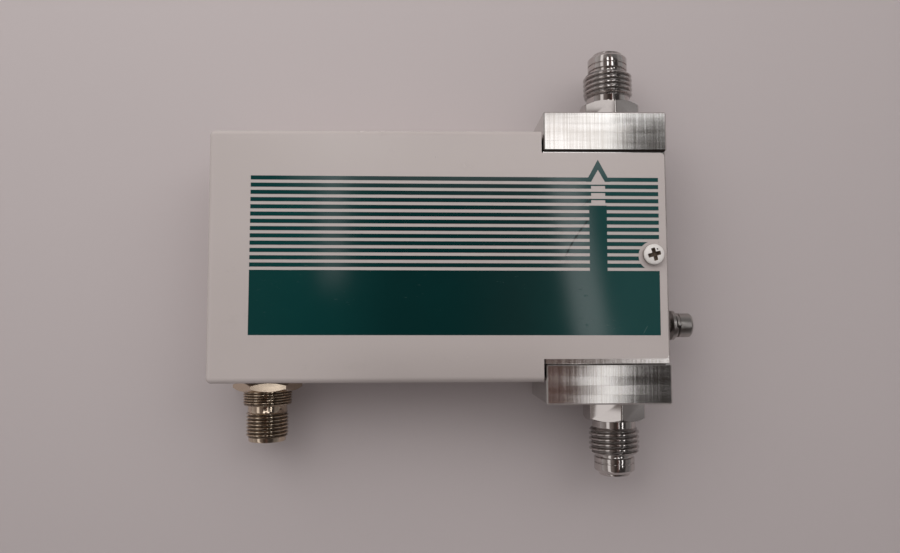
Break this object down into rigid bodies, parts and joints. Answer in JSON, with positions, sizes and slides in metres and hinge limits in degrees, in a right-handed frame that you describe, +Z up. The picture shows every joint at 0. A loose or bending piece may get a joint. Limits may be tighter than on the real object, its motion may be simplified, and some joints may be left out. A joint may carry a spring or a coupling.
{
  "type": "mass flow controller",
  "caption": "Thermal gas mass flow controller: sheet-metal cover over a sensor, piezo valve and circuit boards, on a stainless base with male face-seal fittings and a round field-bus socket.",
  "frame": {"origin": "foot of the middle of the gas line on the plane of the back, on which the controller lies", "axes": "+X towards the mounting face of the base, +Y the way the gas flows, from the inlet fitting to the outlet fitting, +Z up, out of the printed front"},
  "size_m": [0.1371, 0.124, 0.0306],
  "materials": {
    "painted_cover": "semi-gloss paint on folded steel, with a screen print",
    "screen_print": "dark green screen print on the cover",
    "milled_steel": "milled stainless steel with fine cutter marks",
    "turned_steel": "turned and polished stainless steel",
    "nickel_seal": "soft nickel",
    "socket_screws": "stainless steel",
    "plated_screw": "bright plated steel",
    "seat_polymer": "machined polymer",
    "spring_alloy": "spring alloy sheet",
    "piezo_ceramic": "coated piezo ceramic",
    "copper_winding": "enamelled copper wire",
    "sensor_aluminium": "satin aluminium",
    "sheet_steel": "rolled stainless sheet",
    "plated_brass": "nickel-plated brass",
    "circuit_board": "solder resist on glass epoxy",
    "black_plastic": "moulded black plastic",
    "header_plastic": "moulded natural nylon",
    "lead_jacket": "soft insulation",
    "nickel_plate": "nickel plate on turned brass, slightly warm",
    "gold_pins": "gold plate",
    "gasket_rubber": "rubber"
  },
  "bodies": {
    "root": {"cover": "painted_cover", "cover_screw_front": "plated_screw", "cover_screw_back": "plated_screw", "base_body": "milled_steel", "inlet_block": "milled_steel", "outlet_block": "milled_steel", "inlet_fitting": "turned_steel", "outlet_fitting": "turned_steel", "inlet_seal": "nickel_seal", "outlet_seal": "nickel_seal", "inlet_block_screws": "socket_screws", "outlet_block_screws": "socket_screws", "bypass_element": "turned_steel", "seat_holder": "turned_steel", "valve_seat": "seat_polymer", "diaphragm": "spring_alloy", "diaphragm_clamp": "turned_steel", "valve_bonnet": "milled_steel", "actuator_case": "turned_steel", "disc_springs": "spring_alloy", "actuator_bridge": "milled_steel", "piezo_stack": "piezo_ceramic", "thrust_bearing": "turned_steel", "adjusting_nut": "turned_steel", "lock_nut": "turned_steel", "valve_housing": "turned_steel", "valve_cap": "seat_polymer", "bonnet_screws": "socket_screws", "sensor_body": "milled_steel", "sensor_seals": "nickel_seal", "sensor_screws": "socket_screws", "sensor_capillary": "turned_steel", "sensor_windings": "copper_winding", "sensor_housing": "sensor_aluminium", "chassis_plate": "sheet_steel", "chassis_screws": "plated_screw", "short_standoffs": "plated_brass", "middle_standoffs": "plated_brass", "long_standoffs": "plated_brass", "bus_board": "circuit_board", "main_board": "circuit_board", "board_screws": "plated_screw", "board_header": "black_plastic", "processor_chip": "black_plastic", "booster_coil": "black_plastic", "board_capacitors": "sensor_aluminium", "lead_headers": "header_plastic", "bus_leads": "lead_jacket", "sensor_leads": "lead_jacket", "valve_leads": "lead_jacket", "connector_shell": "nickel_plate", "connector_insert": "black_plastic", "connector_pins": "gold_pins", "panel_nut": "nickel_plate", "panel_gasket": "gasket_rubber", "mounting_screw": "socket_screws", "spring_washer": "socket_screws", "flat_washer": "socket_screws"}
  },
  "joints": []
}
